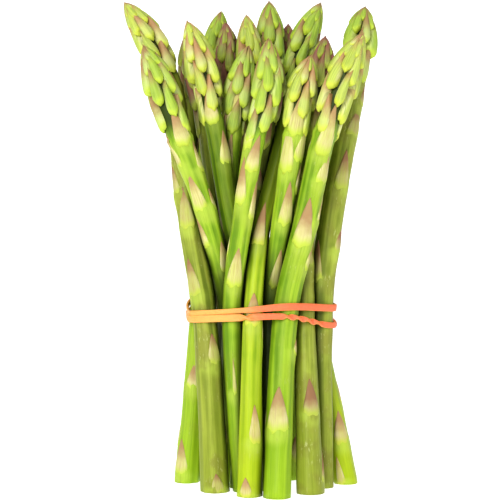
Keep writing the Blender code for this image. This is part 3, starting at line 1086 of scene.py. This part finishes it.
@dataclass
class RubberBand:
    """The rubber band: one closed loop wound twice, drawn taut round the stalks."""

    node: str = "rubber_band"
    width: float = 2.4 * MM
    thickness: float = 1.1 * MM
    turn_points: int = 240
    front_x: tuple[float, ...] = (-0.027, 0.002, 0.015, 0.022, 0.031, 0.037)
    upper_z: tuple[float, ...] = (0.0771, 0.0793, 0.0807, 0.0804, 0.0796, 0.0789)
    lower_z: tuple[float, ...] = (0.0746, 0.0762, 0.0766, 0.0754, 0.0723, 0.0709)
    back_upper_z: float = 0.0815
    back_lower_z: float = 0.0775
    hump: float = 1.5 * MM

    def build(self, finishes: Finishes) -> None:
        """Builds the band and puts it in place of its solid.

        Args:
            finishes: the materials.
        """
        line = self._line()
        section = self._section()
        line.data.bevel_mode = "OBJECT"
        line.data.bevel_object = section
        deselect()
        line.select_set(True)
        bpy.context.view_layer.objects.active = line
        bpy.ops.object.convert(target="MESH")
        band = bpy.context.object
        band.name = "rubber_band_wound"
        bpy.data.objects.remove(section, do_unlink=True)
        self._close(band)
        mesh = band.data
        normals = np.empty(len(mesh.vertices) * 3, np.float32)
        mesh.vertices.foreach_get("normal", normals)
        upward = np.abs(normals.reshape(-1, 3)[:, 2])
        # How far each surface faces up or down, for the band's painted highlight.
        store(mesh, "face", np.clip((upward - 0.45) * 2.2, 0, 1))
        mesh.materials.clear()
        mesh.materials.append(finishes.rubber)
        mesh.shade_smooth()
        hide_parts(self.node)
        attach(band, ROOT_BODY)
        LOG.info("rubber band: %d faces", len(mesh.polygons))

    @staticmethod
    def _close(band: bpy.types.Object) -> None:
        """Joins the sweep's seam and turns its faces outwards."""
        bpy.ops.object.mode_set(mode="EDIT")
        bpy.ops.mesh.select_all(action="SELECT")
        bpy.ops.mesh.remove_doubles(threshold=0.00001)
        bpy.ops.mesh.normals_make_consistent(inside=False)
        bpy.ops.object.mode_set(mode="OBJECT")

    def _section(self) -> bpy.types.Object:
        """The band's flat section with rounded edges, as a closed outline."""
        data = bpy.data.curves.new("band_section", "CURVE")
        data.dimensions = "2D"
        count = 16
        run = data.splines.new("POLY")
        run.points.add(count - 1)
        for index, point in enumerate(run.points):
            angle = 2 * math.pi * index / count
            x = math.copysign(abs(math.cos(angle)) ** 0.45, math.cos(angle)) * self.thickness / 2
            y = math.copysign(abs(math.sin(angle)) ** 0.45, math.sin(angle)) * self.width / 2
            point.co = (x, y, 0, 1)
        run.use_cyclic_u = True
        outline = bpy.data.objects.new("band_section", data)
        bpy.context.scene.collection.objects.link(outline)
        return outline

    def _line(self) -> bpy.types.Object:
        """The band's middle line, with its roll at every point."""
        loop = self._taut_loop()
        outward = loop - loop.mean(axis=0)
        outward /= np.linalg.norm(outward, axis=1, keepdims=True)
        back = self._ramp(loop[:, 1], -0.004, 0.012)
        upper = np.interp(loop[:, 0], self.front_x, self.upper_z) * (1 - back) + self.back_upper_z * back
        lower = np.interp(loop[:, 0], self.front_x, self.lower_z) * (1 - back) + self.back_lower_z * back
        for heights in (upper, lower):
            for _ in range(60):
                heights[:] = heights / 2 + (np.roll(heights, 1) + np.roll(heights, -1)) / 4
        share = np.arange(self.turn_points) / self.turn_points
        from_crossing = np.minimum(share, 1 - share)
        settled = 0.5 + self._ramp(from_crossing, 0.0, 0.07) / 2
        hump = self.hump * (1 - self._ramp(from_crossing, 0.045, 0.12))
        first_loop = loop + outward * (hump * (share > 0.5))[:, None]
        second_loop = loop + outward * (hump * (share < 0.5))[:, None]
        first = np.column_stack([first_loop, lower + (upper - lower) * settled])
        second = np.column_stack([second_loop, upper + (lower - upper) * settled])
        places = np.vstack([first, second])
        front = 1 - back
        roll_first = 0.10 * np.sin(share * 40) * front
        roll_second = self._rolled(loop[:, 0]) * front
        rolls = np.concatenate([roll_first, roll_second])
        rightward = self._ramp(loop[:, 0], -0.012, 0.018)
        spread_first = 1 + front * (0.32 * rightward - 0.12 * (1 - rightward))
        spread_second = 1 + front * (0.10 * rightward + 0.36 * (1 - rightward))
        spreads = np.concatenate([spread_first, spread_second])
        data = bpy.data.curves.new("rubber_band_line", "CURVE")
        data.dimensions = "3D"
        data.twist_mode = "Z_UP"
        run = data.splines.new("POLY")
        run.points.add(len(places) - 1)
        for point, place, roll, spread in zip(run.points, places, rolls, spreads):
            point.co = (*place, 1.0)
            point.tilt = roll
            point.radius = spread
        run.use_cyclic_u = True
        line = bpy.data.objects.new("rubber_band_line", data)
        bpy.context.scene.collection.objects.link(line)
        return line

    @staticmethod
    def _rolled(x: np.ndarray) -> np.ndarray:
        """How far the lower strand has rolled over, at a distance to the right of the middle."""
        first = RubberBand._ramp(x, -0.006, 0.003) * math.pi
        second = np.clip((x - 0.014) / 0.0045, 0.0, 4.0) * math.pi
        return first + second

    def _taut_loop(self) -> np.ndarray:
        """Evenly spaced points on the tightest loop round the stalks at the band's height."""
        low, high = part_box(self.node)
        outline = []
        for look in SPEARS:
            spine = look.spine
            travel = np.linspace(spine.at_height(low.z), spine.at_height(high.z), 4)
            middle, _, _, _ = spine.read(travel)
            for centre, radius in zip(middle[:, :2], spine.radius(travel)):
                around = np.linspace(0, 2 * math.pi, 60, endpoint=False)
                ring = np.column_stack([np.cos(around), np.sin(around)])
                outline.append(centre + ring * (radius + self.thickness / 2 + 0.15 * MM))
        corners = self._hull(np.vstack(outline))
        corners = np.roll(corners, -int(corners[:, 1].argmax()), axis=0)
        closed = np.vstack([corners, corners[:1]])
        walked = np.concatenate([[0.0], np.cumsum(np.linalg.norm(np.diff(closed, axis=0), axis=1))])
        stops = np.linspace(0, walked[-1], self.turn_points, endpoint=False)
        return np.column_stack([np.interp(stops, walked, closed[:, i]) for i in range(2)])

    @staticmethod
    def _hull(points: np.ndarray) -> np.ndarray:
        """The corners of the convex outline of some points.

        Args:
            points: the points, one row each.

        Returns:
            The corners, anticlockwise seen from above.
        """
        ordered = sorted(map(tuple, points))
        loop = []
        for run in (ordered, ordered[::-1]):
            side = []
            for place in run:
                while len(side) > 1 and RubberBand._turn(side[-2], side[-1], place) <= 0:
                    side.pop()
                side.append(place)
            loop += side[:-1]
        return np.array(loop)

    @staticmethod
    def _turn(a: tuple, b: tuple, c: tuple) -> float:
        """Positive where a, b and c turn to the left."""
        return (b[0] - a[0]) * (c[1] - a[1]) - (b[1] - a[1]) * (c[0] - a[0])

    @staticmethod
    def _ramp(value: np.ndarray, low: float, high: float) -> np.ndarray:
        """A soft step from 0 at low to 1 at high.

        Args:
            value: the values to step over.
            low: where the step starts.
            high: where it ends.

        Returns:
            The step.
        """
        t = np.clip((value - low) / (high - low), 0.0, 1.0)
        return t * t * (3 - 2 * t)


@dataclass
class Studio:
    """The pale floor, the soft lights and the camera."""

    eye: tuple[float, float, float] = (0.0001, -0.5942, 0.110)
    aim_z: float = 0.1046
    distance: float = 0.600
    view_width: float = 0.225

    def build(self) -> None:
        """Sets up the floor, lights and camera."""
        self._floor()
        self._lights()
        self._camera()
        scene = bpy.context.scene
        scene.view_settings.view_transform = "Standard"
        scene.view_settings.look = "Medium High Contrast"

    def _floor(self) -> None:
        """A large pale floor, and a low round wall of light a long way off."""
        deselect()
        bpy.ops.mesh.primitive_circle_add(vertices=96, radius=4.0, fill_type="NGON", location=(0, 0, 0))
        floor = bpy.context.object
        floor.name = "studio_floor"
        floor.data.materials.append(self._white("studio_floor", 0.55, 0.80))
        deselect()
        bpy.ops.mesh.primitive_cylinder_add(
            vertices=96, radius=3.9, depth=1.3, end_fill_type="NOTHING", location=(0, 0, 0.65)
        )
        wall = bpy.context.object
        wall.name = "studio_wall"
        wall.data.materials.append(self._white("studio_wall", 0.3, 1.0))

    @staticmethod
    def _white(name: str, white: float, glow: float) -> bpy.types.Material:
        """White paint that also gives off some light.

        Args:
            name: the material's name.
            white: how light the paint is.
            glow: how much light it gives off.

        Returns:
            The material.
        """
        paint = Paint(name)
        paint.shader.inputs["Base Color"].default_value = (white, white, white, 1.0)
        paint.shader.inputs["Roughness"].default_value = 0.6
        paint.shader.inputs["Emission Color"].default_value = (1.0, 1.0, 1.0, 1.0)
        paint.shader.inputs["Emission Strength"].default_value = glow
        return paint.material

    def _lights(self) -> None:
        """A dim surround, a large soft light in front and smaller ones round about."""
        world = bpy.data.worlds.new("studio_surround")
        bpy.context.scene.world = world
        world.use_nodes = True
        background = world.node_tree.nodes["Background"]
        background.inputs["Color"].default_value = (1.0, 1.0, 1.0, 1.0)
        background.inputs["Strength"].default_value = 0.05
        self._area("front_light", (-0.42, -1.15, 0.60), 0.5, 11.0)
        self._area("right_light", (1.0, -0.5, 0.30), 0.5, 1.0)
        self._area("top_light", (0.0, 0.15, 1.2), 0.8, 3.0)

    @staticmethod
    def _area(name: str, place: tuple[float, float, float], size: float, power: float) -> None:
        """Adds a soft square light that faces the bundle.

        Args:
            name: the light's name.
            place: where it stands.
            size: its side.
            power: its strength in watts.
        """
        data = bpy.data.lights.new(name, "AREA")
        data.size = size
        data.energy = power
        light = bpy.data.objects.new(name, data)
        bpy.context.scene.collection.objects.link(light)
        light.location = place
        toward = np.array([0.0, 0.0, 0.11]) - np.array(place)
        light.rotation_euler = Studio._facing(toward)

    @staticmethod
    def _facing(toward: np.ndarray) -> tuple[float, float, float]:
        """The rotation that points a light or a camera along a direction."""
        flat = math.hypot(toward[0], toward[1])
        return math.atan2(flat, -toward[2]), 0.0, math.atan2(-toward[0], toward[1])

    def _camera(self) -> None:
        """The camera, level with the middle of the bundle."""
        data = bpy.data.cameras.new("camera")
        data.sensor_width = 36.0
        data.lens = data.sensor_width * self.distance / self.view_width
        camera = bpy.data.objects.new("camera", data)
        bpy.context.scene.collection.objects.link(camera)
        camera.location = self.eye
        toward = np.array([0.0, self.distance, self.aim_z - self.eye[2]])
        camera.rotation_euler = self._facing(toward)
        bpy.context.scene.camera = camera


def main() -> None:
    """Builds the studio, the spears and the band."""
    logging.basicConfig(level=logging.INFO, format="%(message)s")
    Studio().build()
    finishes = Finishes()
    stencils = Stencils()
    for spear in SPEARS:
        spear.find_spine()
    for number, spear in enumerate(SPEARS):
        spear.build(stencils, finishes, number + 11)
    RubberBand().build(finishes)
    for mesh in (stencils.tube, stencils.slab):
        bpy.data.meshes.remove(mesh)


if __name__ == "__main__":
    main()
